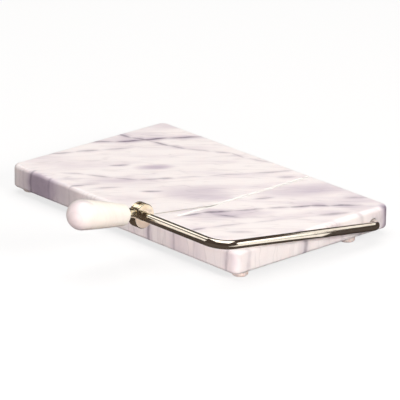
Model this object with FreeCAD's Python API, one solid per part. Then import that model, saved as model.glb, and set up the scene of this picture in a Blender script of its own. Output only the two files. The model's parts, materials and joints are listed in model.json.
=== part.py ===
import FreeCAD, Part
import math
import os

# Marble cheese slicer: a stone board with a saw-cut groove and a steel bow that
# swings on the board's end and carries a taut cutting wire. Millimetres.
# +X runs along the board towards the pivot end, +Y from the handle side to the
# back edge, +Z up from the worktop.

# ---- board -------------------------------------------------------------------
BOARD_L = 203.2
BOARD_W = 127.0
BOARD_T = 14.7
CORNER_R = 5.0
TOP_EDGE_R = 2.6
BOTTOM_EDGE_R = 2.0

# ---- feet --------------------------------------------------------------------
FOOT_R = 5.0
FOOT_H = 3.1
FOOT_EDGE_R = 1.0
PAD_R = 4.6
PAD_T = 0.4
FOOT_INSET_X = 7.1
FRONT_FOOT_INSET_Y = 10.0
BACK_FOOT_INSET_Y = 28.8

# ---- bow ---------------------------------------------------------------------
ROD_R = 2.78
PIVOT_FROM_BACK = 14.0
PIVOT_H = 5.8
PIVOT_BORE_R = 3.1
ARM_OFFSET = 5.0
ARM_LENGTH = 128.3
ARM_RISE = math.radians(7.44)
ARM_TOE_IN = math.radians(1.5)
PIVOT_BEND_R = 5.5
CORNER_BEND_R = 12.0
SHAFT_PAST_GROOVE = 4.0

# ---- groove and wire ---------------------------------------------------------
GROOVE_FROM_END = 67.3
GROOVE_W = 2.0
GROOVE_START = 13.5
GROOVE_DEPTH_BACK = 10.9
WIRE_R = 0.3
WIRE_HOLE_R = 0.45
BALL_R = 0.8
REAR_BALL_OFFSET = 1.5
FRONT_BALL_OFFSET = 5.2

# ---- hub, screw and handle, measured out from the hub's centre ------------------
HUB_R = 7.6
HUB_W = 6.4
HUB_RING_W = 0.45
HUB_RING_DEPTH = 0.4
HUB_RING_INSET = 1.25
HUB_FLAT = 6.9
HUB_BORE_R = 2.8
HANDLE_TILT = math.radians(13.4)
SCREW_R = 1.5
SCREW_BORE_R = 1.55
SCREW_CLEAR_R = 1.85
SCREW_END = 26.0
SCREW_TAIL = 7.2
SCREW_EDGE = 0.2
BALL_POCKET = (3.8, 5.76)
BALL_POCKET_R = 0.95
WIRE_SLOT_W = 1.24
WASHER_R = 3.0
WASHER_START = 6.95
WASHER_T = 0.6
COLLAR_R = 4.15
HANDLE_START = 13.2
HANDLE_END = 56.4
HANDLE_NECK_R = 6.5
HANDLE_R = 9.05
HANDLE_BULGE = 0.2
HANDLE_EDGE_R = 2.2
INSERT_R = 2.5
INSERT_LENGTH = 14.6
HANDLE_BORE_DEPTH = 17.0

# ---- places ------------------------------------------------------------------
BOARD_BASE = FOOT_H + PAD_T
BOARD_TOP = BOARD_BASE + BOARD_T
ARM_REACH = ARM_LENGTH * math.cos(ARM_RISE) * math.cos(ARM_TOE_IN)
ARM_LIFT = ARM_LENGTH * math.sin(ARM_RISE) * math.cos(ARM_TOE_IN)
HANDLE_REACH = (HANDLE_END - HANDLE_R) * math.cos(HANDLE_TILT) + HANDLE_R
BOARD_X = -(ARM_OFFSET + ROD_R) / 2
BOARD_Y = (ARM_REACH + HANDLE_REACH + PIVOT_FROM_BACK - BOARD_W) / 2
END_X = BOARD_X + BOARD_L / 2
BACK_Y = BOARD_Y + BOARD_W / 2
FRONT_Y = BOARD_Y - BOARD_W / 2
GROOVE_X = END_X - GROOVE_FROM_END
ARM_X = END_X + ARM_OFFSET
PIVOT = FreeCAD.Vector(GROOVE_X, BACK_Y - PIVOT_FROM_BACK, BOARD_BASE + PIVOT_H)
HUB = PIVOT + FreeCAD.Vector(0, -ARM_REACH, ARM_LIFT)
HANDLE_DIR = FreeCAD.Vector(0, -math.cos(HANDLE_TILT), math.sin(HANDLE_TILT))
FRONT_BALL = HUB - HANDLE_DIR * FRONT_BALL_OFFSET
WIRE_DIR = (FRONT_BALL - PIVOT).normalize()
REAR_BALL = PIVOT - WIRE_DIR * REAR_BALL_OFFSET
X_AXIS = FreeCAD.Vector(1, 0, 0)
Z_AXIS = FreeCAD.Vector(0, 0, 1)


def cylinder(radius, start, end):
    """A round bar of the given radius between two points."""
    along = end - start
    return Part.makeCylinder(radius, along.Length, start, along)


def on_handle_axis(shape):
    """Stand a shape drawn along +Z from the origin on the handle's axis at the hub."""
    placed = shape.copy()
    placed.Placement = FreeCAD.Placement(HUB, FreeCAD.Rotation(Z_AXIS, HANDLE_DIR))
    return placed


def tube(outer_r, inner_r, start, end):
    """A plain ring on the handle's axis, between two distances from the hub."""
    base = FreeCAD.Vector(0, 0, start)
    ring = Part.makeCylinder(outer_r, end - start, base)
    return ring.cut(Part.makeCylinder(inner_r, end - start, base))


def bent_path(points, radii):
    """Straight runs through the points, joined by arcs of the given centre-line radii."""
    edges = []
    start = points[0]
    for index, radius in enumerate(radii, start=1):
        corner = points[index]
        back = (points[index - 1] - corner).normalize()
        ahead = (points[index + 1] - corner).normalize()
        half = back.getAngle(ahead) / 2
        trim = radius / math.tan(half)
        bisector = (back + ahead).normalize()
        first = corner + back * trim
        last = corner + ahead * trim
        middle = corner + bisector * (radius / math.sin(half) - radius)
        edges.append(Part.makeLine(start, first))
        edges.append(Part.Arc(first, middle, last).toShape())
        start = last
    edges.append(Part.makeLine(start, points[-1]))
    return Part.Wire(edges)


def groove_cutter():
    """The saw cut that takes the wire: nothing deep at the front, deepest at the back."""
    start_y = FRONT_Y + GROOVE_START
    slope = GROOVE_DEPTH_BACK / (BACK_Y - start_y)
    corners = [
        (start_y, BOARD_TOP),
        (BACK_Y + 1, BOARD_TOP - GROOVE_DEPTH_BACK - slope),
        (BACK_Y + 1, BOARD_TOP + 1),
        (start_y, BOARD_TOP + 1),
    ]
    left = GROOVE_X - GROOVE_W / 2
    outline = [FreeCAD.Vector(left, y, z) for y, z in corners]
    face = Part.Face(Part.makePolygon(outline + outline[:1]))
    return face.extrude(X_AXIS * GROOVE_W)


def marble_board():
    corner = FreeCAD.Vector(BOARD_X - BOARD_L / 2, FRONT_Y, BOARD_BASE)
    slab = Part.makeBox(BOARD_L, BOARD_W, BOARD_T, corner)
    upright = [e for e in slab.Edges if abs(e.tangentAt(0).z) > 0.9]
    slab = slab.makeFillet(CORNER_R, upright)
    top = [e for e in slab.Edges if e.BoundBox.ZMin > BOARD_TOP - 0.01]
    slab = slab.makeFillet(TOP_EDGE_R, top)
    bottom = [e for e in slab.Edges if e.BoundBox.ZMax < BOARD_BASE + 0.01]
    slab = slab.makeFillet(BOTTOM_EDGE_R, bottom)
    bore_start = PIVOT - X_AXIS * (SHAFT_PAST_GROOVE + 1)
    bore_end = FreeCAD.Vector(END_X + 1, PIVOT.y, PIVOT.z)
    slab = slab.cut(cylinder(PIVOT_BORE_R, bore_start, bore_end))
    return slab.cut(groove_cutter())


def foot_places():
    """The four feet by name, as X, Y positions under the board's corners."""
    left = BOARD_X - BOARD_L / 2 + FOOT_INSET_X
    right = END_X - FOOT_INSET_X
    front = FRONT_Y + FRONT_FOOT_INSET_Y
    back = BACK_Y - BACK_FOOT_INSET_Y
    return {
        "front_left": (left, front),
        "front_right": (right, front),
        "back_left": (left, back),
        "back_right": (right, back),
    }


def rubber_foot(x, y):
    foot = Part.makeCylinder(FOOT_R, FOOT_H, FreeCAD.Vector(x, y, 0))
    sole_edge = [e for e in foot.Edges if e.BoundBox.ZMax < 0.01]
    return foot.makeFillet(FOOT_EDGE_R, sole_edge)


def adhesive_disc(x, y):
    return Part.makeCylinder(PAD_R, PAD_T, FreeCAD.Vector(x, y, FOOT_H))


def bow_rod():
    shaft_end = PIVOT - X_AXIS * SHAFT_PAST_GROOVE
    pivot_corner = FreeCAD.Vector(ARM_X, PIVOT.y, PIVOT.z)
    toe = ARM_LENGTH * math.sin(ARM_TOE_IN)
    front_corner = FreeCAD.Vector(ARM_X - toe, HUB.y, HUB.z)
    arm_end = HUB - X_AXIS * (HUB_W / 2)
    points = [shaft_end, pivot_corner, front_corner, arm_end]
    path = bent_path(points, [PIVOT_BEND_R, CORNER_BEND_R])
    section = Part.Wire(Part.makeCircle(ROD_R, shaft_end, X_AXIS))
    rod = path.makePipeShell([section], True, True)
    far = REAR_BALL - WIRE_DIR * ROD_R
    near = PIVOT + WIRE_DIR * (ROD_R + 1)
    seat = PIVOT - WIRE_DIR * (REAR_BALL_OFFSET - BALL_R)
    rod = rod.cut(cylinder(WIRE_HOLE_R, PIVOT, near))
    rod = rod.cut(cylinder(WIRE_HOLE_R, seat, PIVOT))
    rod = rod.cut(cylinder(BALL_R + 0.05, far, seat))
    hole_ends = [HUB + HANDLE_DIR * reach for reach in (-HUB_R, HUB_R)]
    return rod.cut(cylinder(SCREW_BORE_R, *hole_ends))


def tension_hub():
    left = HUB - X_AXIS * (HUB_W / 2)
    hub = Part.makeCylinder(HUB_R, HUB_W, left, X_AXIS)
    hub = hub.makeFillet(0.4, [e for e in hub.Edges if e.Length > 4 * HUB_R])
    for offset in (HUB_RING_INSET, HUB_W - HUB_RING_INSET - HUB_RING_W):
        start = left + X_AXIS * offset
        ring = Part.makeCylinder(HUB_R + 1, HUB_RING_W, start, X_AXIS)
        core = Part.makeCylinder(HUB_R - HUB_RING_DEPTH, HUB_RING_W, start, X_AXIS)
        hub = hub.cut(ring.cut(core))
    flat = Part.makeBox(HUB_W * 2, HUB_W * 2, HUB_R, FreeCAD.Vector(-HUB_W, -HUB_W, HUB_FLAT))
    hub = hub.cut(on_handle_axis(flat))
    hub = hub.cut(Part.makeCylinder(HUB_BORE_R, HUB_W, left, X_AXIS))
    hole_ends = [HUB + HANDLE_DIR * reach for reach in (-HUB_R - 1, HUB_R + 1)]
    return hub.cut(cylinder(SCREW_BORE_R, *hole_ends))


def cutting_wire():
    rear = REAR_BALL - WIRE_DIR * (BALL_R * 0.6)
    front = FRONT_BALL + WIRE_DIR * (BALL_R * 0.6)
    return cylinder(WIRE_R, rear, front)


def wire_ball(centre):
    """A swaged ball on one end of the wire, holding it in its seat."""
    ball = Part.makeSphere(BALL_R, centre)
    reach = WIRE_DIR * (BALL_R * 0.6)
    outward = WIRE_DIR if centre == REAR_BALL else WIRE_DIR * -1
    blind_end = centre - outward * (BALL_R * 0.6)
    return ball.cut(cylinder(WIRE_R, blind_end, blind_end + outward * reach.Length * 4))


def tension_screw():
    """A plain screw whose tail end holds the wire's ball in a pocket open on one side."""
    length = SCREW_END + SCREW_TAIL
    shank = Part.makeCylinder(SCREW_R, length, FreeCAD.Vector(0, 0, -SCREW_TAIL))
    screw = shank.makeChamfer(SCREW_EDGE, [e for e in shank.Edges if e.Closed and e.Length < 10])
    pocket_near, pocket_far = BALL_POCKET
    open_x = SCREW_R + 1
    near = pocket_near + BALL_POCKET_R
    pocket = Part.makeBox(
        open_x + BALL_POCKET_R,
        BALL_POCKET_R * 2,
        pocket_far - near,
        FreeCAD.Vector(-BALL_POCKET_R, -BALL_POCKET_R, -pocket_far),
    )
    rounded = Part.makeCylinder(
        BALL_POCKET_R,
        open_x + BALL_POCKET_R,
        FreeCAD.Vector(-BALL_POCKET_R, 0, -near),
        X_AXIS,
    )
    wire_slot = Part.makeBox(
        open_x + WIRE_SLOT_W / 2,
        WIRE_SLOT_W,
        SCREW_TAIL - near + 0.5,
        FreeCAD.Vector(-WIRE_SLOT_W / 2, -WIRE_SLOT_W / 2, -SCREW_TAIL - 0.5),
    )
    return on_handle_axis(screw.cut(pocket).cut(rounded).cut(wire_slot))


def thrust_washer():
    return on_handle_axis(tube(WASHER_R, SCREW_CLEAR_R, WASHER_START, WASHER_START + WASHER_T))


def handle_collar():
    collar = tube(COLLAR_R, SCREW_CLEAR_R, WASHER_START + WASHER_T, HANDLE_START)
    outer = [e for e in collar.Edges if e.Length > 5 * COLLAR_R and e.Closed]
    return on_handle_axis(collar.makeFillet(0.5, outer))


def handle_insert():
    return on_handle_axis(tube(INSERT_R, SCREW_BORE_R, HANDLE_START, HANDLE_START + INSERT_LENGTH))


def marble_handle():
    """A tapered stone grip with a round end, bored to take the threaded insert."""
    dome_z = HANDLE_END - HANDLE_R
    neck = HANDLE_NECK_R
    edge = HANDLE_EDGE_R
    curve = edge * (1 - math.sqrt(0.5))
    start = FreeCAD.Vector(0, 0, HANDLE_START)
    flat = FreeCAD.Vector(neck - edge, 0, HANDLE_START)
    bend = FreeCAD.Vector(neck - curve, 0, HANDLE_START + curve)
    side = FreeCAD.Vector(neck, 0, HANDLE_START + edge)
    wide = FreeCAD.Vector(HANDLE_R, 0, dome_z)
    middle = (side + wide) / 2 + FreeCAD.Vector(HANDLE_BULGE, 0, 0)
    half = HANDLE_R * math.sqrt(0.5)
    shoulder = FreeCAD.Vector(half, 0, dome_z + half)
    tip = FreeCAD.Vector(0, 0, HANDLE_END)
    profile = Part.Wire(
        [
            Part.makeLine(start, flat),
            Part.Arc(flat, bend, side).toShape(),
            Part.Arc(side, middle, wide).toShape(),
            Part.Arc(wide, shoulder, tip).toShape(),
            Part.makeLine(tip, start),
        ]
    )
    grip = Part.Face(profile).revolve(FreeCAD.Vector(0, 0, 0), Z_AXIS, 360)
    bore = Part.makeCylinder(INSERT_R, HANDLE_BORE_DEPTH, start)
    return on_handle_axis(grip.cut(bore))


def all_parts():
    parts = {
        "marble_board": marble_board(),
        "bow_rod": bow_rod(),
        "tension_hub": tension_hub(),
        "cutting_wire": cutting_wire(),
        "wire_ball_rear": wire_ball(REAR_BALL),
        "wire_ball_front": wire_ball(FRONT_BALL),
        "tension_screw": tension_screw(),
        "thrust_washer": thrust_washer(),
        "handle_collar": handle_collar(),
        "handle_insert": handle_insert(),
        "marble_handle": marble_handle(),
    }
    for place, (x, y) in foot_places().items():
        parts["foot_" + place] = rubber_foot(x, y)
        parts["adhesive_disc_" + place] = adhesive_disc(x, y)
    return parts


os.makedirs("parts", exist_ok=True)
for node, shape in all_parts().items():
    shape.exportStep("parts/" + node + ".step")
    box = shape.BoundBox
    print(node, shape.ShapeType, len(shape.Solids), shape.isValid(), round(shape.Volume, 2))
    print("   ", [round(v, 2) for v in (box.XMin, box.YMin, box.ZMin, box.XMax, box.YMax, box.ZMax)])
print("board centre", round(BOARD_X, 3), round(BOARD_Y, 3))
print("pivot", PIVOT, "hub", HUB, "wire", WIRE_DIR, "handle", HANDLE_DIR)
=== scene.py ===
# %% [markdown]
# # A marble cheese slicer
#
# A stone board with a saw-cut groove, a bent and plated steel rod that hinges in a long hole
# drilled in the board's end, and a fine steel wire stretched inside that rod. The stone handle
# turns on a screw that pulls the wire tight.
#
# The solid model is already made and measured. This lesson loads it, keeps the pieces whose shape
# is right, makes finer ones where the light would show facets, and gives every piece the finish of
# the real material.

# %% Load the measured model
import json
import math

import bmesh
import bpy
import numpy as np
from mathutils import Matrix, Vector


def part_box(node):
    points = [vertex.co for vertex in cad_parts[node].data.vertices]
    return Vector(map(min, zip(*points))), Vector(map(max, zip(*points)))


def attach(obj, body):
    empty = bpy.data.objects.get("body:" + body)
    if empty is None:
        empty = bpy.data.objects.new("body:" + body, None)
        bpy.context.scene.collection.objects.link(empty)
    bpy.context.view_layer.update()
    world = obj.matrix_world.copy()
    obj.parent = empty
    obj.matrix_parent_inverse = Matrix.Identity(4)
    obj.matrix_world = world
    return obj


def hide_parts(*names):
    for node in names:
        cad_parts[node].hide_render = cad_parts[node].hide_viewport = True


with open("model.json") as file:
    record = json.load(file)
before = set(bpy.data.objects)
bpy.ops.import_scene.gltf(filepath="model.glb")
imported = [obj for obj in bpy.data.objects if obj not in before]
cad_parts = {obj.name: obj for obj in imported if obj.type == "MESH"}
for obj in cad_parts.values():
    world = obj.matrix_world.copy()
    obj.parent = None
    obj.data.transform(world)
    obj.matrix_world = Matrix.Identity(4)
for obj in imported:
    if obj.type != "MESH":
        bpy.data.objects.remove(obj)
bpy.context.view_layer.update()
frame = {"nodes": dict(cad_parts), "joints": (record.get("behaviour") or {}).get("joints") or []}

MM = 0.001
for name in sorted(frame["nodes"]):
    low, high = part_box(name)
    print(name, "mm:", [round(v / MM, 1) for v in high - low])

# %% [markdown]
# ## Where things are
#
# The pieces' places come from the measured model, so the finer pieces land where the measured ones
# are. The board gives the middle of the scene, and the joints in the record give the pivot, the
# hub's centre and the direction in which the handle points.

# %% Places read from the model
board_low, board_high = (np.array(corner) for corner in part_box("marble_board"))
board_centre = (board_low + board_high) / 2
joints = {joint["name"]: joint for joint in frame["joints"]}
pivot = np.array(joints["bow_hinge"]["pos_m"])
hub_centre = np.array(joints["handle_turn"]["pos_m"])
handle_way = np.array(joints["handle_turn"]["axis"])
x_way = np.array([1.0, 0.0, 0.0])
z_way = np.array([0.0, 0.0, 1.0])
print("board centre mm:", board_centre / MM)
print("pivot mm:", pivot / MM, "hub mm:", hub_centre / MM)

# %% [markdown]
# ## The camera
#
# A long lens from well back keeps the board's edges nearly parallel. The camera looks at a point
# just behind the board's middle, from to the right of its front corner, and leans by one degree.

# %% Camera
AZIMUTH = math.radians(46.93)
ELEVATION = math.radians(19.99)
LEAN = math.radians(-1.044)
DISTANCE = 2170 * MM
LENS_MM = 319.2
AIM_FROM_BOARD = np.array([-0.33, 2.12, -3.95]) * MM


def make_camera():
    """Stands on a sphere round the aim: back = (sin a cos e, -cos a cos e, sin e), then leans about
    that line."""
    flat = math.cos(ELEVATION)
    back = np.array([math.sin(AZIMUTH) * flat, -math.cos(AZIMUTH) * flat, math.sin(ELEVATION)])
    level = np.array([math.cos(AZIMUTH), math.sin(AZIMUTH), 0.0])
    rise = np.cross(back, level)
    across = level * math.cos(LEAN) - rise * math.sin(LEAN)
    upward = level * math.sin(LEAN) + rise * math.cos(LEAN)
    data = bpy.data.cameras.new("catalogue_camera")
    data.sensor_width = 36
    data.lens = LENS_MM
    data.clip_end = 50
    camera = bpy.data.objects.new("catalogue_camera", data)
    turn = Matrix([across, upward, back]).transposed().to_4x4()
    camera.matrix_world = Matrix.Translation(board_centre + AIM_FROM_BOARD + back * DISTANCE) @ turn
    bpy.context.scene.collection.objects.link(camera)
    bpy.context.scene.camera = camera
    return camera


camera = make_camera()
print("camera at", [round(v, 3) for v in camera.matrix_world.translation])

# %% [markdown]
# ## Shapes from profiles
#
# Nearly every piece but the board is round in section: the rod is a circle carried along a bent
# line, and the hub, the collar, the handle and the feet are turned on a lathe. Both are one
# surface, a circle whose centre and radius change along a line, so one function makes them all.
# Blender's Screw modifier could turn the profiles, but the bent rod would still need its own way,
# and the rows of points are easier to place one by one where the light will show them.

# %% Rounded corners, and a circle carried along a line
AROUND = 96
SHARP_ANGLE = math.radians(35)


def rounded(corners, radii, steps=10):
    """Replaces each inner corner of a line by an arc: centre = corner + bisector * r / sin(half the
    angle), and the arc's points are centre - r * (direction from the centre to the corner, turned
    evenly between both tangents)."""
    corners = np.array(corners, float)
    line = [corners[:1]]
    for before, corner, after, radius in zip(corners, corners[1:], corners[2:], radii):
        back = (before - corner) / np.linalg.norm(before - corner)
        ahead = (after - corner) / np.linalg.norm(after - corner)
        half = math.acos(np.clip(back @ ahead, -1, 1)) / 2
        if radius == 0:
            line.append(corner[None])
            continue
        bisector = (back + ahead) / np.linalg.norm(back + ahead)
        across = (ahead - back) / np.linalg.norm(ahead - back)
        sweep = np.linspace(-1, 1, steps + 1)[:, None] * (math.pi / 2 - half)
        centre = corner + bisector * radius / math.sin(half)
        line.append(centre + radius * (across * np.sin(sweep) - bisector * np.cos(sweep)))
    return np.concatenate([*line, corners[-1:]])


def piece_from_grid(name, points, closed_rows):
    """Joins a grid of points (rows, columns, xyz) with quads. Columns always close; equal points
    are then welded, so a row of radius nought becomes a pole."""
    rows, columns = points.shape[:2]
    index = np.arange(rows * columns).reshape(rows, columns)
    below = index if closed_rows else index[:-1]
    above = np.roll(index, -1, 0) if closed_rows else index[1:]
    around = [below, np.roll(below, -1, 1), np.roll(above, -1, 1), above]
    quads = np.stack(around, -1).reshape(-1, 4)
    mesh = bpy.data.meshes.new(name)
    mesh.from_pydata(points.reshape(-1, 3).tolist(), [], quads.tolist())
    work = bmesh.new()
    work.from_mesh(mesh)
    bmesh.ops.remove_doubles(work, verts=work.verts, dist=1e-7)
    bmesh.ops.recalc_face_normals(work, faces=work.faces)
    work.to_mesh(mesh)
    work.free()
    mesh.shade_smooth()
    mesh.set_sharp_from_angle(angle=SHARP_ANGLE)
    piece = bpy.data.objects.new(name, mesh)
    bpy.context.scene.collection.objects.link(piece)
    print(name, len(mesh.polygons), "faces")
    return piece


def round_grid(line, radii, ways, side, angles):
    """Point(row, column) = centre of the row + radius * (cos(angle) * side + sin(angle) * (way x
    side))."""
    other = np.cross(ways, side)
    turn = angles[None, :, None]
    outward = np.cos(turn) * side + np.sin(turn) * other[:, None]
    return line[:, None] + radii[:, None, None] * outward


def turned(name, profile, origin, way, angles=None, shape=None):
    """Turns a profile of (radius, distance along the way), in mm, about the line through origin. A
    profile whose first and last points are equal is a ring with a hole, and its rows close."""
    profile = np.array(profile, float) * MM
    closed = np.allclose(profile[0], profile[-1])
    if closed:
        profile = profile[:-1]
    if angles is None:
        angles = np.arange(AROUND) * 2 * math.pi / AROUND
    helper = x_way if abs(way @ x_way) < 0.9 else z_way
    side = np.cross(way, helper)
    side /= np.linalg.norm(side)
    line = origin + profile[:, 1:] * way
    grid = round_grid(line, profile[:, 0], np.tile(way, (len(line), 1)), side, angles)
    return piece_from_grid(name, grid if shape is None else shape(grid), closed)


# %% [markdown]
# ## The bow's rod
#
# On the real slicer this is one length of mild steel rod, bent cold in two places and then plated.
# The bends are true arcs: a tight one by the pivot and a wider one at the front corner. The shaft
# end stays straight, because it turns in the board, and it has a cross hole for the wire with a
# wider seat for the wire's ball. The circle is carried along the bent line, and the cross hole is
# cut afterwards with a Boolean, since no grid of rows can hold it.

# %% Bent rod
ROD_R = 2.78
ARM_OFFSET = 5.0
TOE_IN = math.radians(1.5)
ARM_LENGTH = 128.3
PIVOT_BEND_R = 5.5
CORNER_BEND_R = 12.0
SHAFT_PAST_GROOVE = 4.0
HUB_W = 6.4
END_ROUND = 0.35
END_STEPS = 6


def rod_line():
    """The centre line: shaft, tight bend, long arm, wide bend and front arm, as points and unit
    directions."""
    shaft_end = pivot - x_way * SHAFT_PAST_GROOVE * MM
    arm_x = board_high[0] + ARM_OFFSET * MM
    pivot_corner = np.array([arm_x, pivot[1], pivot[2]])
    toe = ARM_LENGTH * math.sin(TOE_IN) * MM
    front_corner = np.array([arm_x - toe, hub_centre[1], hub_centre[2]])
    arm_end = hub_centre - x_way * HUB_W / 2 * MM
    bends = [PIVOT_BEND_R * MM, CORNER_BEND_R * MM]
    line = rounded([shaft_end, pivot_corner, front_corner, arm_end], bends, steps=28)
    steps = zip(line, line[1:], split_counts(line))
    runs = [np.linspace(start, end, count, endpoint=False) for start, end, count in steps]
    line = np.concatenate([*runs, line[-1:]])
    ways = np.gradient(line, axis=0)
    ways /= np.linalg.norm(ways, axis=1)[:, None]
    side = np.cross(x_way, front_corner - pivot_corner)
    return line, ways, side / np.linalg.norm(side)


def split_counts(line, longest=4 * MM):
    """How many pieces each run is split into, so that none is longer than the given length."""
    lengths = np.linalg.norm(np.diff(line, axis=0), axis=1)
    return np.maximum(1, np.ceil(lengths / longest)).astype(int)


def bent_rod():
    """The circle of the rod along its line, closed by a small rounding at each end: radius = R - c
    + sqrt(c^2 - d^2) with d the distance back from where the rounding starts."""
    line, ways, side = rod_line()
    arc = np.linspace(0, math.pi / 2, END_STEPS)
    inset = END_ROUND * MM * (1 - np.sin(arc))
    shrink = END_ROUND * MM * (1 - np.cos(arc))
    head = line[0] + np.outer(inset[::-1], ways[0])
    tail = line[-1] - np.outer(inset, ways[-1])
    line = np.concatenate([line[:1], head, line[1:-1], tail, line[-1:]])
    capped = END_STEPS + 1
    first, last = np.repeat(ways[:1], capped, 0), np.repeat(ways[-1:], capped, 0)
    ways = np.concatenate([first, ways[1:-1], last])
    full = np.full(len(line) - 2 * capped, ROD_R * MM)
    radii = np.concatenate([[0], ROD_R * MM - shrink[::-1], full, ROD_R * MM - shrink, [0]])
    angles = np.arange(AROUND) * 2 * math.pi / AROUND
    return piece_from_grid("plated_rod", round_grid(line, radii, ways, side, angles), False)


plated_rod = bent_rod()

# %% [markdown]
# The wire leaves the pivot in a straight line to its seat in the tension screw, so its direction is
# known: from the pivot to a point on the handle's line, inside the hub. The drill for the cross
# hole is turned about that direction.

# %% Cross hole for the wire
FRONT_BALL_OFFSET = 5.2
REAR_BALL_OFFSET = 1.5
BALL_R = 0.8
WIRE_R = 0.3
WIRE_HOLE_R = 0.45
front_ball = hub_centre - handle_way * FRONT_BALL_OFFSET * MM
wire_way = (front_ball - pivot) / np.linalg.norm(front_ball - pivot)
rear_ball = pivot - wire_way * REAR_BALL_OFFSET * MM
SEAT = BALL_R - REAR_BALL_OFFSET
SEAT_CLEARANCE = 0.05
DRILL_REACH = 4


def cut(piece, drill):
    """Takes the drill's volume out of the piece and keeps the result as its mesh."""
    boolean = piece.modifiers.new("cut", "BOOLEAN")
    boolean.object = drill
    boolean.solver = "EXACT"
    graph = bpy.context.evaluated_depsgraph_get()
    mesh = bpy.data.meshes.new_from_object(piece.evaluated_get(graph))
    piece.modifiers.clear()
    piece.data = mesh
    mesh.set_sharp_from_angle(angle=SHARP_ANGLE)
    bpy.data.objects.remove(drill)


seat_r = BALL_R + SEAT_CLEARANCE
drill_profile = [(0, -DRILL_REACH), (seat_r, -DRILL_REACH), (seat_r, SEAT), (WIRE_HOLE_R, SEAT)]
drill_profile += [(WIRE_HOLE_R, DRILL_REACH), (0, DRILL_REACH)]
cut(plated_rod, turned("wire_drill", drill_profile, pivot, wire_way))
print("rod with its hole:", len(plated_rod.data.polygons), "faces")

# %% [markdown]
# ## The hub
#
# A short turned bush of brass, pressed over the front arm's end. Two fine rings are cut round it
# near its faces, and one flat is milled where the handle's collar bears. It is turned as a ring
# with a hole, and the flat is made by pressing every point beyond its plane back to it, with two
# columns of points exactly on the flat's edges.

# %% Turned hub
HUB_R = 7.6
HUB_RING_W = 0.45
HUB_RING_DEPTH = 0.4
HUB_RING_INSET = 1.25
HUB_BORE_R = 2.8
HUB_FLAT = 6.9
HUB_AROUND = 144
# Bore lip, outer edge, ring lip, two bed corners, ring lip.
HUB_ROUNDINGS = [0.2, 0.5, 0.12, 0.15, 0.15, 0.12]


def hub_profile():
    """Half the outline: outer edge rounding, ring groove with rounded lips, and the same again
    mirrored."""
    half = HUB_W / 2
    groove = half - HUB_RING_INSET
    bed = HUB_R - HUB_RING_DEPTH
    corners = [(HUB_BORE_R, 0), (HUB_BORE_R, half), (HUB_R, half), (HUB_R, groove), (bed, groove)]
    corners += [(bed, groove - HUB_RING_W), (HUB_R, groove - HUB_RING_W), (HUB_R, 0)]
    right = rounded(corners, HUB_ROUNDINGS, steps=6)
    left = right[::-1] * [1, -1]
    return np.concatenate([right, left[1:]])


def press_flat(grid):
    """Point - way * max(0, distance along the way - flat's distance)."""
    beyond = np.maximum(0, (grid - hub_centre) @ handle_way - HUB_FLAT * MM)
    return grid - beyond[..., None] * handle_way


def hub_angles():
    """Even steps round the hub, with two more columns at the edges of the flat."""
    side = np.cross(x_way, z_way)
    flat_middle = math.atan2(handle_way @ np.cross(x_way, side), handle_way @ side)
    edge = math.acos(HUB_FLAT / HUB_R)
    even = np.arange(HUB_AROUND) * 2 * math.pi / HUB_AROUND
    edges = np.mod([flat_middle - edge, flat_middle + edge], 2 * math.pi)
    return np.sort(np.concatenate([even, edges]))


brass_hub = turned("brass_hub", hub_profile(), hub_centre, x_way, hub_angles(), press_flat)

# %% [markdown]
# ## The handle and the pieces in its end
#
# The grip is turned from the same stone: a narrow neck with a rounded edge, a side that swells
# slightly, and a full half-ball at the end. A brass collar closes the neck against the hub, with a
# steel washer between them, and a threaded sleeve sits in the grip's bore. All three are rings
# about the handle's line.

# %% Grip, collar, sleeve and washer
HANDLE_START = 13.2
HANDLE_END = 56.4
NECK_R = 6.5
GRIP_R = 9.05
GRIP_SWELL = 0.2
NECK_EDGE_R = 2.2
NECK_ARC_SHARE = 0.98
SLEEVE_R = 2.5
SLEEVE_LENGTH = 14.6
BORE_DEPTH = 17.0
SCREW_CLEAR_R = 1.85
THREAD_R = 1.55
COLLAR_R = 4.15
WASHER_START = 6.95
WASHER_T = 0.6
WASHER_R = 3.0


def grip_profile():
    """Bore, neck, then the side r = straight line + 4 * swell * s * (1 - s), then a quarter circle
    to the tip."""
    neck_side = HANDLE_START + NECK_EDGE_R
    ball = HANDLE_END - GRIP_R
    bore_end = HANDLE_START + BORE_DEPTH
    corners = [(0, bore_end), (SLEEVE_R, bore_end), (SLEEVE_R, HANDLE_START)]
    corners += [(NECK_R, HANDLE_START), (NECK_R, neck_side)]
    neck = rounded(corners, [0, 0.3, NECK_EDGE_R * NECK_ARC_SHARE], steps=12)[:-1]
    s = np.linspace(0, 1, 40)
    radius = NECK_R + (GRIP_R - NECK_R) * s + 4 * GRIP_SWELL * s * (1 - s)
    side = np.stack([radius, neck_side + (ball - neck_side) * s], 1)
    turn = np.linspace(0, math.pi / 2, 40)[1:]
    cap = np.stack([GRIP_R * np.cos(turn), ball + GRIP_R * np.sin(turn)], 1)
    cap[-1, 0] = 0
    return np.concatenate([neck, side, cap])


def ring_profile(inner, outer, start, end, edge):
    """A ring's section, its two outer edges and its two inner lips rounded."""
    middle = (start + end) / 2
    corners = [(inner, middle), (inner, end), (outer, end)]
    corners += [(outer, start), (inner, start), (inner, middle)]
    return rounded(corners, [edge / 2, edge, edge, edge / 2], steps=6)


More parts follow.
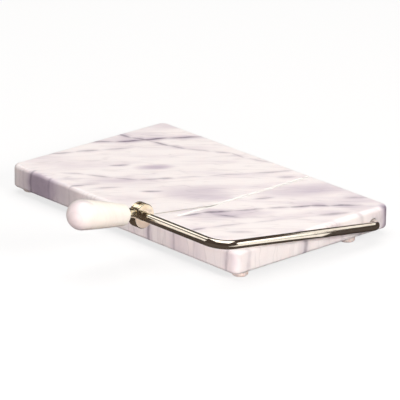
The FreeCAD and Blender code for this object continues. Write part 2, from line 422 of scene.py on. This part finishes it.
marble_grip = turned("marble_grip", grip_profile(), hub_centre, handle_way)
collar_start = WASHER_START + WASHER_T
collar_section = ring_profile(SCREW_CLEAR_R, COLLAR_R, collar_start, HANDLE_START, 0.5)
brass_collar = turned("brass_collar", collar_section, hub_centre, handle_way)
sleeve_section = ring_profile(THREAD_R, SLEEVE_R, HANDLE_START, HANDLE_START + SLEEVE_LENGTH, 0.2)
threaded_sleeve = turned("threaded_sleeve", sleeve_section, hub_centre, handle_way)
washer_section = ring_profile(SCREW_CLEAR_R, WASHER_R, WASHER_START, WASHER_START + WASHER_T, 0.12)
steel_washer = turned("steel_washer", washer_section, hub_centre, handle_way)

# %% [markdown]
# ## The wire and its balls
#
# The cutter is one hard-drawn stainless wire. A small ball is swaged on each end with a short neck,
# and the wire is dead straight between them because it is in tension.

# %% Wire with swaged balls
NECK_LENGTH = 1.0
SWAGE_R = 0.38
SWAGE_TAPER = 0.2
BURIED_SHARE = 0.6


def wire_profile(length):
    """A straight wire with its two cut ends slightly rounded."""
    ends = [(0, 0), (WIRE_R, 0), (WIRE_R, length), (0, length)]
    return rounded(ends, [0.1, 0.1], steps=4)


def ball_profile():
    """Most of a circle of the ball's radius, from its far pole to the neck, then the neck tapering
    to the wire."""
    open_angle = math.asin(SWAGE_R / BALL_R)
    turn = np.linspace(math.pi, open_angle, 32)
    ball = np.stack([BALL_R * np.sin(turn), BALL_R * np.cos(turn)], 1)
    ball[0, 0] = 0
    neck_end = BALL_R + NECK_LENGTH
    taper_end = neck_end + SWAGE_TAPER
    corners = [ball[-1], (SWAGE_R, neck_end), (WIRE_R, taper_end), (0, taper_end)]
    return np.concatenate([ball, rounded(corners, [0.2, 0], steps=4)[1:]])


bury = BALL_R * BURIED_SHARE
wire_start = rear_ball - wire_way * bury * MM
wire_length = np.linalg.norm(front_ball - rear_ball) / MM + 2 * bury
taut_wire = turned("taut_wire", wire_profile(wire_length), wire_start, wire_way)
rear_end = turned("rear_wire_ball", ball_profile(), rear_ball, wire_way)
front_end = turned("front_wire_ball", ball_profile(), front_ball, -wire_way)
print("wire length mm:", round(wire_length, 1))

# %% [markdown]
# ## The feet
#
# Four moulded rubber bumpers hold the board off the table. Each has a slight draft, so that it
# leaves its mould, a rounded sole edge and a shallow dimple where the mould was filled.

# %% Rubber feet
FOOT_PLACES = ("front_left", "front_right", "back_left", "back_right")
DIMPLE_SHARE = 0.45
DIMPLE_DEPTH = 0.35
FOOT_DRAFT = 0.35
FOOT_EDGE_R = 1.0


def foot_profile(radius, height):
    """From the pole of the sole's dimple outwards and up: sole ring, rounded edge, drafted side,
    flat top."""
    dimple = np.linspace(0, 1, 10)
    hollow = np.stack([dimple * radius * DIMPLE_SHARE, DIMPLE_DEPTH * (1 - dimple**2) ** 2], 1)
    sole = radius - FOOT_DRAFT
    corners = [hollow[-1], (sole, 0), (radius, height), (0, height)]
    return np.concatenate([hollow, rounded(corners, [FOOT_EDGE_R, 0.15], steps=10)[1:]])


feet = []
for place in FOOT_PLACES:
    low, high = (np.array(corner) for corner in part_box("foot_" + place))
    centre = np.array([(low[0] + high[0]) / 2, (low[1] + high[1]) / 2, low[2]])
    size = (high - low) / MM
    foot = turned("rubber_" + place, foot_profile(size[0] / 2, size[2]), centre, z_way)
    feet.append(foot)

# %% [markdown]
# ## Colours and nodes
#
# A colour is written as it is seen, in sRGB, and turned to the linear light that the renderer adds
# up. One small function adds a node, sets it and links it, so that a finish reads as a list of
# steps.

# %% Colour and node helpers
def linear(code):
    """Each channel c of an sRGB hex code becomes c / 12.92 below 0.04, and ((c + 0.055) / 1.055) ^
    2.4 above."""
    srgb = np.array([int(code[i : i + 2], 16) for i in (1, 3, 5)]) / 255
    light = np.where(srgb <= 0.04045, srgb / 12.92, ((srgb + 0.055) / 1.055) ** 2.4)
    return (*(float(v) for v in light), 1.0)


def add(tree, kind, inputs, **settings):
    """Adds a node; inputs are values or other nodes' outputs by socket name or number."""
    node = tree.nodes.new("ShaderNode" + kind)
    for name, value in settings.items():
        setattr(node, name, value)
    for socket, value in inputs.items():
        if isinstance(value, bpy.types.NodeSocket):
            tree.links.new(value, node.inputs[socket])
        else:
            node.inputs[socket].default_value = value
    return node


def new_finish(name):
    """A material with an empty tree, and its Object coordinates."""
    material = bpy.data.materials.new(name)
    material.use_nodes = True
    tree = material.node_tree
    tree.nodes.clear()
    return material, tree, add(tree, "TexCoord", {}).outputs["Object"]


def close_finish(tree, inputs):
    """The Principled shader with these inputs, joined to the output."""
    shader = add(tree, "BsdfPrincipled", inputs)
    add(tree, "OutputMaterial", {"Surface": shader.outputs[0]})


def wear(material, pieces):
    """Gives every piece this one finish."""
    for piece in pieces:
        piece.data.materials.clear()
        piece.data.materials.append(material)


# %% [markdown]
# ## Marble
#
# White marble is calcite with thin seams of grey clay and mica in it, sawn and then polished. The
# seams run through the whole slab in nearly one direction, so the same pattern has to come out on
# the top as long streaks and on the sides as upright ones. The pattern is therefore solid, worked
# out in space and only then met by the surface: clouds of lilac grey drawn out along the grain,
# hairlines where a second noise crosses its middle value, and the slab's own larger veins, each a
# very thin ellipsoid standing upright in the stone with a faint halo round it. All of it is bent by
# a weak noise first.

# %% Where the slab's own veins and patches lie
# Middle x and y from the board's centre, length, direction in degrees, width, strength; all lengths
# in mm.
BOARD_VEINS = [
    (-96, 6, 24, 55, 4.0, 0.55),
    (-86, 21, 30, 59, 4.4, 0.8),
    (-79, 35, 28, 65, 3.8, 0.8),
    (-69, 52, 32, 58, 4.2, 0.65),
    (-97, -27, 26, 63, 3.6, 0.45),
    (-89, -12, 24, 60, 3.6, 0.45),
    (-80, 5, 30, 63, 3.4, 0.35),
    (-96, 25, 16, 6, 3.4, 0.6),
    (-84, 29, 20, 20, 3.6, 0.6),
    (-70, 32, 24, 10, 3.2, 0.6),
    (-58, 36, 22, 22, 3.2, 0.45),
    (-45, 43, 26, 31, 3.0, 0.35),
    (-32, 51, 18, 33, 3.0, 0.4),
    (-22, 54, 16, -3, 3.0, 0.35),
    (-7, 58, 28, 20, 3.0, 0.3),
    (-63, -47, 24, 42, 3.0, 0.3),
    (-49, -37, 26, 29, 3.2, 0.4),
    (-34, -28, 22, 35, 3.2, 0.35),
    (-24, -17, 22, 63, 3.4, 0.4),
    (-20, -9, 17, 58, 2.6, 0.55),
    (-12, 5, 24, 56, 2.6, 0.25),
    (0, 25, 38, 60, 2.8, 0.3),
    (14, 49, 36, 61, 3.2, 0.38),
    (-30, -48, 28, 58, 3.4, 0.35),
    (-42, -53, 24, 59, 3.0, 0.28),
    (-45, -59, 18, 60, 3.2, 0.5),
    (-56, -15, 17, 52, 2.7, 0.65),
    (-8, -31, 18, 55, 2.5, 0.65),
    (18, 57, 14, 58, 3.4, 0.3),
    (26, 50, 16, 59, 4.4, 0.3),
    (45, 12, 19, 65, 3.2, 0.45),
    (38, -40, 22, 76, 3.4, 0.6),
    (44, -26, 28, 61, 4.4, 0.75),
    (54, -8, 28, 61, 3.4, 0.5),
    (63, 8, 24, 60, 3.4, 0.45),
    (70, 20, 24, 60, 3.6, 0.7),
    (76, 29, 20, 51, 4.4, 0.65),
    (85, 41, 30, 53, 4.2, 0.65),
    (53, -26, 28, 28, 3.2, 0.5),
    (58, -54, 18, 80, 3.6, 0.5),
    (65, -36, 38, 65, 3.0, 0.3),
    (75, -12, 32, 70, 3.0, 0.22),
    (92, 26, 30, 66, 5.5, 0.4),
    (78, -38, 26, 45, 4.6, 0.25),
    (80, 56, 22, 48, 4.0, 0.35),
    (-83, -64, 14, 75, 3.6, 0.5),
    (25, -65, 12, 75, 4.0, 0.55),
    (93, -64, 10, 70, 3.0, 0.32),
    (101, -9, 12, 55, 3.0, 0.6),
    # These two rows lie flat along the long front face and darken its left part: partly the stone's
    # cloud, partly painted shade.
    (-76, -65, 44, 2, 7, 0.3),
    (-44, -64, 40, -3, 5, 0.16),
    (-90, -64, 8, 80, 3.0, 0.12),
    (-66, -64, 9, 70, 3.0, 0.35),
    (48, -64, 8, 70, 2.6, 0.25),
    (101, -54, 9, 60, 3.0, 0.18),
    (101, 38, 10, 60, 3.2, 0.25),
    (101, 60, 12, 66, 4.4, 0.6),
]
# Broad lilac patches, written in the same way.
BOARD_PATCHES = [
    (-39, 0, 34, 58, 14, 0.85),
    (12, -14, 66, 42, 34, 0.55),
    (50, 36, 70, 60, 32, 0.5),
    (-88, 24, 60, 60, 22, 0.3),
    (-28, -30, 60, 52, 26, 0.2),
    (-100, 60, 50, 55, 40, 0.35),
    (85, 20, 60, 63, 16, 0.25),
    (-8, -52, 40, 50, 22, 0.25),
    (82, 60, 50, 50, 30, 0.3),
    (50, -30, 60, 55, 26, 0.3),
    (95, 45, 40, 60, 20, 0.3),
    # This row darkens the left part of the long front face: partly the stone's cloud, partly
    # painted shade.
    (-72, -66, 62, 0, 12, 1.0),
    (101, 60, 24, 66, 9, 0.45),
    (98, -66, 16, 30, 9, 0.4),
]
# The grip's few veins and blush, about the hub's centre.
GRIP_VEINS = [
    (-4, -36, 16, 100, 2.6, 0.25),
    (3, -45, 14, 60, 2.4, 0.2),
]
GRIP_PATCHES = [(1, -51, 24, 100, 22, 0.5)]

# %% Marble
SMOOTH = {"interpolation_type": "SMOOTHSTEP"}
COLOURS = {"data_type": "RGBA"}
STONE = "#FDF6F5"
CLOUD = "#C4B7C6"
SEAM = "#52465C"
GROOVE_W = 2.0
GROOVE_START = 13.5
# The white band beside the saw cut is partly paler chipped stone and partly a painted highlight.
CHIPPED_HIGHLIGHT = 0.55
CHIPPED_HIGHLIGHT_FADE = 0.15
WAVER = 4
WAVER_SIZE = 16
GRAIN_SIZE = 0.8
VEIN_HALF_HEIGHT = 60
HALO_WIDTH = 3.2
HALO_STRENGTH = 0.8
groove_start = float(board_low[1]) + GROOVE_START * MM


def bent_coordinates(tree, place, amount, size):
    """Coordinates moved by (noise - 0.5) * amount, so that straight veins waver at the given
    size."""
    scaled = {"Vector": place, "Scale": 1 / size, "Detail": 2.0, "Roughness": 0.45}
    noise = add(tree, "TexNoise", scaled)
    about_middle = {0: noise.outputs[1], 1: (0.5, 0.5, 0.5)}
    centred = add(tree, "VectorMath", about_middle, operation="SUBTRACT")
    sized = {0: centred.outputs[0], 1: (amount, amount, amount), 2: place}
    return add(tree, "VectorMath", sized, operation="MULTIPLY_ADD").outputs[0]


def veins(tree, place, origin, table, full_at, wider=1.0):
    """The greatest of all the veins. Each is a smooth step of 1 - distance in its own stretched
    space, times its strength, so that it keeps its width along most of its length."""
    found = None
    for x, y, length, degrees, width, strength in table:
        stretch = {
            "Vector": place,
            "Location": tuple(origin + np.array([x, y, 0]) * MM),
            "Rotation": (0, 0, math.radians(degrees)),
            "Scale": (length / 2 * MM, wider * width / 2 * MM, VEIN_HALF_HEIGHT * MM),
        }
        own = add(tree, "Mapping", stretch, vector_type="TEXTURE")
        near = add(tree, "TexGradient", {"Vector": own.outputs[0]}, gradient_type="SPHERICAL")
        limits = {"Value": near.outputs[1], "From Max": full_at, "To Max": strength}
        shown = add(tree, "MapRange", limits, **SMOOTH)
        if found is not None:
            shown = add(tree, "Math", {0: shown.outputs[0], 1: found}, operation="MAXIMUM")
        found = shown.outputs[0]
    return found


def stretched_noise(tree, place, origin, degrees, scale_mm, detail):
    """Noise drawn out to the given three lengths, along, across and up, with its long way at an
    angle."""
    drawn = {
        "Vector": place,
        "Location": tuple(origin),
        "Rotation": (0, 0, math.radians(degrees)),
        "Scale": tuple(v * MM for v in scale_mm),
    }
    own = add(tree, "Mapping", drawn, vector_type="TEXTURE").outputs[0]
    noise = {"Vector": own, "Scale": 1.0, "Detail": detail, "Roughness": 0.5}
    return add(tree, "TexNoise", noise).outputs[0]


def sawn_and_highlight_share(tree, place):
    """Where a painted highlight goes, partly the paler sawn stone: one on the saw cut's walls and
    on the fine chipped edge beside it, where the distance from the cut's middle plane is under half
    its width plus the chipping."""
    axes = add(tree, "SeparateXYZ", {0: place}).outputs
    offset = add(tree, "Math", {0: axes[0], 1: float(pivot[0])}, operation="SUBTRACT").outputs[0]
    distance = add(tree, "Math", {0: offset}, operation="ABSOLUTE").outputs[0]
    chipped = GROOVE_W / 2 + CHIPPED_HIGHLIGHT
    edge = {"Value": distance, "From Min": chipped * MM, "From Max": (chipped - CHIPPED_HIGHLIGHT_FADE) * MM}
    beside = add(tree, "MapRange", edge, **SMOOTH).outputs[0]
    start = {"Value": axes[1], "From Min": groove_start - 1 * MM, "From Max": groove_start + 4 * MM}
    along = add(tree, "MapRange", start, **SMOOTH).outputs[0]
    return add(tree, "Math", {0: beside, 1: along}, operation="MULTIPLY").outputs[0]


def marble(
    name, origin, degrees, vein_table, patch_table, cloudy, thready, sawn=False, stone=STONE
):
    """Polished marble whose pattern is placed about origin and runs at the given angle about the
    upright."""
    material, tree, place = new_finish(name)
    bent = bent_coordinates(tree, place, WAVER * MM, WAVER_SIZE * MM)
    # Clouds are about 60 mm long and 14 mm wide; threads are 50 mm long and 7 mm apart.
    cloud = stretched_noise(tree, bent, origin, degrees, (60, 14, 60), 4.0)
    thread = stretched_noise(tree, bent, origin, degrees, (50, 7, 60), 2.0)
    off_middle = add(tree, "Math", {0: thread, 1: 0.5}, operation="SUBTRACT").outputs[0]
    distance = add(tree, "Math", {0: off_middle}, operation="ABSOLUTE").outputs[0]
    broad_limits = {"Value": cloud, "From Min": 0.45, "From Max": 0.75, "To Max": cloudy}
    broad = add(tree, "MapRange", broad_limits, **SMOOTH).outputs[0]
    thread_limits = {"Value": distance, "From Min": 0.03, "From Max": 0.0, "To Max": thready}
    hairline = add(tree, "MapRange", thread_limits, **SMOOTH).outputs[0]
    share = add(tree, "Math", {0: hairline, 1: cloud}, operation="MULTIPLY").outputs[0]
    patch = veins(tree, bent, origin, patch_table, 0.8)
    broad = add(tree, "Math", {0: broad, 1: patch}, operation="ADD", use_clamp=True).outputs[0]
    halo = veins(tree, bent, origin, vein_table, 1.0, wider=HALO_WIDTH)
    widened = {0: halo, 1: HALO_STRENGTH, 2: broad}
    broad = add(tree, "Math", widened, operation="MULTIPLY_ADD", use_clamp=True).outputs[0]
    strong = veins(tree, bent, origin, vein_table, 0.8)
    mica = {"Vector": bent, "Scale": 1 / (4 * MM), "Detail": 4.0}
    speckle = add(tree, "TexNoise", mica).outputs[0]
    patchy = {"Value": speckle, "From Min": 0.3, "From Max": 0.6, "To Min": 0.6}
    uneven = add(tree, "MapRange", patchy).outputs[0]
    broken = add(tree, "Math", {0: strong, 1: uneven}, operation="MULTIPLY").outputs[0]
    share = add(tree, "Math", {0: broken, 1: share}, operation="MAXIMUM").outputs[0]
    clouded = add(tree, "Mix", {0: broad, 6: linear(stone), 7: linear(CLOUD)}, **COLOURS).outputs[2]
    veined = add(tree, "Mix", {0: share, 6: clouded, 7: linear(SEAM)}, **COLOURS).outputs[2]
    # Calcite grains are 0.2 to 1 mm across; polished, they just mottle the colour and the shine.
    grains = {"Vector": place, "Scale": 1 / (GRAIN_SIZE * MM), "Detail": 3.0}
    grain = add(tree, "TexNoise", grains).outputs[0]
    mottle = {"Value": grain, "From Min": 0.4, "From Max": 0.7, "To Max": 0.08}
    fleck = add(tree, "MapRange", mottle, **SMOOTH).outputs[0]
    colour = add(tree, "Mix", {0: fleck, 6: veined, 7: linear("#D9CCD2")}, **COLOURS).outputs[2]
    if sawn:
        # Sawn calcite is crushed and looks whiter than the polished face; the white on the cut's
        # walls and along its edge is also a painted highlight, standing in for the lit wall of the
        # cut.
        crushed_and_highlight = {0: sawn_and_highlight_share(tree, place), 6: colour, 7: linear("#FFFDFB")}
        colour = add(tree, "Mix", crushed_and_highlight, **COLOURS).outputs[2]
    shine = add(tree, "MapRange", {"Value": grain, "To Min": 0.24, "To Max": 0.4}).outputs[0]
    relief = add(tree, "Bump", {"Height": grain, "Strength": 0.08, "Distance": 0.1 * MM})
    close_finish(
        tree,
        {
            "Base Color": colour,
            "Roughness": shine,
            "IOR": 1.49,
            "Normal": relief.outputs[0],
            "Subsurface Weight": 0.25,
            "Subsurface Radius": (1.0, 0.85, 0.8),
            "Subsurface Scale": 3 * MM,
        },
    )
    return material


# The slab has lilac-grey seams. The grip is a plainer and slightly warmer piece of marble.
board_finish = marble(
    "polished_white_marble", board_centre, 52, BOARD_VEINS, BOARD_PATCHES, 0.42, 0.22, sawn=True
)
grip_finish = marble(
    "polished_pale_marble", hub_centre, 20, GRIP_VEINS, GRIP_PATCHES, 0.1, 0.1, stone="#FBF4EA"
)
wear(board_finish, [frame["nodes"]["marble_board"]])
wear(grip_finish, [marble_grip])

# %% [markdown]
# ## Metals
#
# Three metals show. The rod is steel with a bright, slightly warm nickel plate over it. The hub and
# collar are turned brass, so fine tool lines run round them. The screw and washer are turned
# stainless steel, and the wire is drawn stainless steel with a satin skin. A metal has no colour
# under its shine, so all the difference is in its tint, in how rough it is, and in the fine lines
# that its making left.

# %% Metals
def metal(name, tint, dulled, smooth, rough, way, line_mm, depth):
    """A metal with tool lines across the given direction, duller smears, and a light stain where it
    is handled."""
    material, tree, place = new_finish(name)
    along = add(tree, "VectorMath", {0: place, 1: tuple(way)}, operation="DOT_PRODUCT")
    lines = {"W": along.outputs["Value"], "Scale": 1 / (line_mm * MM), "Detail": 2.0}
    tool = add(tree, "TexNoise", lines, noise_dimensions="1D").outputs[0]
    smears = {"Vector": place, "Scale": 1 / (7 * MM), "Detail": 5.0}
    smear = add(tree, "TexNoise", smears).outputs[0]
    handled = {"Value": smear, "From Min": 0.45, "From Max": 0.75, "To Max": 0.6}
    stain = add(tree, "MapRange", handled, **SMOOTH).outputs[0]
    colour = add(tree, "Mix", {0: stain, 6: linear(tint), 7: linear(dulled)}, **COLOURS).outputs[2]
    mixed = add(tree, "Math", {0: tool, 1: 0.5, 2: smear}, operation="MULTIPLY_ADD").outputs[0]
    limits = {"Value": mixed, "From Max": 1.5, "To Min": smooth, "To Max": rough}
    shine = add(tree, "MapRange", limits).outputs[0]
    relief = add(tree, "Bump", {"Height": tool, "Strength": depth, "Distance": 0.05 * MM})
    close_finish(
        tree,
        {"Base Color": colour, "Metallic": 1.0, "Roughness": shine, "Normal": relief.outputs[0]},
    )
    return material


# Bright nickel plate over polished mild steel gives a clear, slightly warm mirror.
rod_finish = metal("nickel_plated_steel", "#F2EDE4", "#DCD3C6", 0.03, 0.09, x_way, 0.5, 0.05)
# Pale brass with tool lines: round x on the hub, and round the handle's line on the collar.
pale_brass = ("#FBF2DC", "#E8D6B2", 0.06, 0.2)
hub_finish = metal("turned_brass_hub", *pale_brass, x_way, 0.25, 0.15)
collar_finish = metal("turned_brass_collar", *pale_brass, handle_way, 0.25, 0.15)
# Hard-drawn stainless wire keeps a satin skin from its die, so it has no sharp glint.
wire_finish = metal("drawn_stainless_wire", "#F6F5F2", "#E6E3DE", 0.45, 0.6, x_way, 0.2, 0.1)
# Turned stainless bar is greyer, and the fine lines from the lathe still show.
turned_bar = ("#CFCDC9", "#A8A49E", 0.14, 0.32)
screw_finish = metal("turned_stainless_steel", *turned_bar, handle_way, 0.3, 0.25)
wear(rod_finish, [plated_rod])
wear(hub_finish, [brass_hub])
wear(collar_finish, [brass_collar, threaded_sleeve])
wear(wire_finish, [taut_wire, rear_end, front_end])
wear(screw_finish, [frame["nodes"]["tension_screw"], steel_washer])

# %% [markdown]
# ## Rubber and tape
#
# The feet are soft, milky PVC. Light goes a little way into it, so it looks paler at its edges than
# a painted solid would. A thin disc of white foam tape holds each foot to the stone.

# %% Soft feet and foam tape
def soft_plastic(name, pale, deep, spot_mm, roughness, glow):
    """Milky plastic: two close tones in soft clouds, a fine leathery relief, and light that travels
    inside."""
    material, tree, place = new_finish(name)
    clouds = {"Vector": place, "Scale": 1 / (3 * MM), "Detail": 3.0}
    cloud = add(tree, "TexNoise", clouds).outputs[0]
    deeper = add(tree, "MapRange", {"Value": cloud, "From Min": 0.35, "From Max": 0.7}, **SMOOTH)
    tones = {0: deeper.outputs[0], 6: linear(pale), 7: linear(deep)}
    colour = add(tree, "Mix", tones, **COLOURS).outputs[2]
    leather = {"Vector": place, "Scale": 1 / (spot_mm * MM), "Detail": 2.0}
    spots = add(tree, "TexNoise", leather).outputs[0]
    limits = {"Value": spots, "To Min": roughness - 0.1, "To Max": roughness + 0.1}
    shine = add(tree, "MapRange", limits).outputs[0]
    relief = add(tree, "Bump", {"Height": spots, "Strength": 0.3, "Distance": 0.05 * MM})
    close_finish(
        tree,
        {
            "Base Color": colour,
            "Roughness": shine,
            "Normal": relief.outputs[0],
            "Subsurface Weight": glow,
            "Subsurface Radius": (1.0, 0.8, 0.7),
            "Subsurface Scale": 1.5 * MM,
        },
    )
    return material


# Moulded PVC has a satin skin, and foam tape is quite matt.
foot_finish = soft_plastic("milky_rubber", "#F3E6E0", "#E4D2CB", 0.4, 0.45, 0.4)
tape_finish = soft_plastic("white_foam_tape", "#F2F0EC", "#DEDAD4", 0.3, 0.8, 0.2)
wear(foot_finish, feet)
wear(tape_finish, [frame["nodes"]["adhesive_disc_" + place] for place in FOOT_PLACES])

# %% [markdown]
# ## What moves with what
#
# The rod, hub and wire swing on the board's pivot. The handle also turns about its own line, and
# the screw slides along that line as the wire is tightened.

# %% Pieces on their bodies
RIDES = [
    (plated_rod, "bow", "bow_rod", "bow_rod"),
    (brass_hub, "bow", "tension_hub", "hub_brass"),
    (taut_wire, "bow", "cutting_wire", "cutting_wire"),
    (rear_end, "bow", "wire_ball_rear", "wire_ball"),
    (front_end, "bow", "wire_ball_front", "wire_ball"),
    (marble_grip, "handle", "marble_handle", "handle_marble"),
    (brass_collar, "handle", "handle_collar", "collar_brass"),
    (threaded_sleeve, "handle", "handle_insert", "insert_brass"),
    (steel_washer, "handle", "thrust_washer", "washer_steel"),
]
RIDES += [(foot, "board", "foot_" + place, "foot_rubber") for foot, place in zip(feet, FOOT_PLACES)]
for piece, body, node, slot in RIDES:
    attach(piece, body)
    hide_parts(node)
print(len(RIDES), "pieces ride on their bodies")

# %% [markdown]
# ## The studio
#
# The board stands on seamless white paper. A large softbox overhead lights the stone evenly, a
# second one to the right lights the board's end, and a small low one by the front corner lifts the
# long front face, which otherwise stays in gentle shade. Polished metal shows what is round it, and
# a studio has dark corners, so the paper and the room are darker in reflections than to the eye.

# %% Paper
PAPER_HALF = 6.0
PAPER_GLOW = 0.74


def paper_finish():
    """White paper that glows a little, so that shadows stay weak; darker in reflections and in its
    bounced light."""
    material, tree, place = new_finish("seamless_paper")
    fibres = {"Vector": place, "Scale": 1 / (2 * MM), "Detail": 2.0}
    fibre = add(tree, "TexNoise", fibres).outputs[0]
    limits = {"Value": fibre, "From Min": 0.3, "From Max": 0.7, "To Max": 0.3}
    pulp = add(tree, "MapRange", limits, **SMOOTH).outputs[0]
    whites = {0: pulp, 6: linear("#F4F4F4"), 7: linear("#EEEEEE")}
    white = add(tree, "Mix", whites, **COLOURS).outputs[2]
    lit = add(tree, "BsdfDiffuse", {"Color": white})
    glow = add(tree, "Emission", {"Color": linear("#FFFFFF"), "Strength": 1.0})
    seen = add(tree, "MixShader", {0: PAPER_GLOW, 1: lit.outputs[0], 2: glow.outputs[0]})
    path = add(tree, "LightPath", {})
    shades = {0: path.outputs["Is Glossy Ray"], 6: linear("#787270"), 7: linear("#4C4540")}
    shaded = add(tree, "Mix", shades, **COLOURS).outputs[2]
    dim = add(tree, "BsdfDiffuse", {"Color": shaded})
    by_eye = {0: path.outputs["Is Camera Ray"], 1: dim.outputs[0], 2: seen.outputs[0]}
    both = add(tree, "MixShader", by_eye)
    add(tree, "OutputMaterial", {"Surface": both.outputs[0]})
    return material


paper_mesh = bpy.data.meshes.new("paper")
signs = [(-1, -1), (1, -1), (1, 1), (-1, 1)]
paper_mesh.from_pydata([(x * PAPER_HALF, y * PAPER_HALF, 0) for x, y in signs], [], [(0, 1, 2, 3)])
paper = bpy.data.objects.new("paper", paper_mesh)
bpy.context.scene.collection.objects.link(paper)
wear(paper_finish(), [paper])
print("paper", 2 * PAPER_HALF, "m wide")

# %% Softboxes
def softbox(name, place, target, size, glow, tint, roll=0.0, lights_stone=True, mirrored=True):
    """A rectangular light at place that faces the target. Its power is pi * area * the glow seen in
    a mirror."""
    data = bpy.data.lights.new(name, "AREA")
    data.shape = "RECTANGLE"
    data.size, data.size_y = size
    data.energy = math.pi * size[0] * size[1] * glow
    data.color = linear(tint)[:3]
    light = bpy.data.objects.new(name, data)
    away = np.array(place, float) - np.array(target, float)
    away /= np.linalg.norm(away)
    level = np.cross(z_way, away)
    level = level / np.linalg.norm(level) if np.linalg.norm(level) > 1e-3 else x_way
    turn = Matrix([level, np.cross(away, level), away]).transposed().to_4x4()
    rolled = Matrix.Rotation(math.radians(roll), 4, "Z")
    light.matrix_world = Matrix.Translation(place) @ turn @ rolled
    light.visible_camera = False
    light.visible_diffuse = lights_stone
    light.visible_glossy = mirrored
    bpy.context.scene.collection.objects.link(light)


middle = (0.0, 0.03, 0.0)
corner = (0.07, -0.03, 0.01)
# Name, place, target, width and height in metres, glow, tint. These light the pieces and do not
# show in the metal.
LAMPS = [
    ("overhead", (-0.28, 0.15, 1.05), middle, (1.3, 1.0), 2.35, "#FFFBF8"),
    ("right_side", (1.15, 0.05, 0.58), middle, (0.5, 0.4), 17.0, "#FFFAF6"),
    ("front_corner", (0.18, -0.31, 0.05), corner, (0.16, 0.08), 14.0, "#FFF4F4"),
]
for lamp in LAMPS:
    softbox(*lamp, mirrored=False)
print(len(LAMPS), "softboxes")

# %% [markdown]
# A rod shows a bright line wherever its round side turns a white card to the eye. So white cards
# stand where the mirror line of each arm points: right and back for the long arm, with one lying on
# the bench for the rod's underside, and above and left for the front arm. They light nothing else.

# %% Reflector cards
# Name, place, target, width and height in metres, glow, roll in degrees.
CARDS = [
    ("card_right", (0.9, 0.8, 0.411), (0.9, 0, 0.411), (0.84, 0.3), 1.1, 51.1),
    ("card_back", (0.55, 0.733, 0.5), (0.55, 0.733, 0), (1.2, 0.255), 1.0, 0),
    ("card_bench", (0.385, 0.185, 0.001), (0.385, 0.185, 1), (0.595, 0.16), 1.0, -42),
    ("card_high", (0.1, 0.15, 1.1), middle, (1.3, 1.0), 2.0, 0),
    ("card_top", (-0.9, 0.01, 1.03), middle, (0.65, 0.5), 1.3, 0),
    ("card_left", (-0.9, -0.9, 0.53), middle, (0.6, 0.66), 1.0, 0),
]
for name, place, target, size, glow, roll in CARDS:
    softbox(name, place, target, size, glow, "#FFFAF2", roll, lights_stone=False)
print(len(CARDS), "reflector cards")

# %% Room
world = bpy.data.worlds.new("studio_room")
bpy.context.scene.world = world
world.use_nodes = True
room_tree = world.node_tree
room_tree.nodes.clear()
room_path = add(room_tree, "LightPath", {})
pale_room = add(room_tree, "Background", {"Color": linear("#FFFFFF"), "Strength": 0.3})
white_room = add(room_tree, "Background", {"Color": linear("#FFFFFF"), "Strength": 1.0})
dark_room = add(room_tree, "Background", {"Color": linear("#4A403A"), "Strength": 1.0})
by_shine = {0: room_path.outputs["Is Glossy Ray"], 1: pale_room.outputs[0], 2: dark_room.outputs[0]}
unseen = add(room_tree, "MixShader", by_shine)
by_eye = {0: room_path.outputs["Is Camera Ray"], 1: unseen.outputs[0], 2: white_room.outputs[0]}
room = add(room_tree, "MixShader", by_eye)
add(room_tree, "OutputWorld", {"Surface": room.outputs[0]})
bpy.context.scene.view_settings.view_transform = "Standard"
print("studio ready")
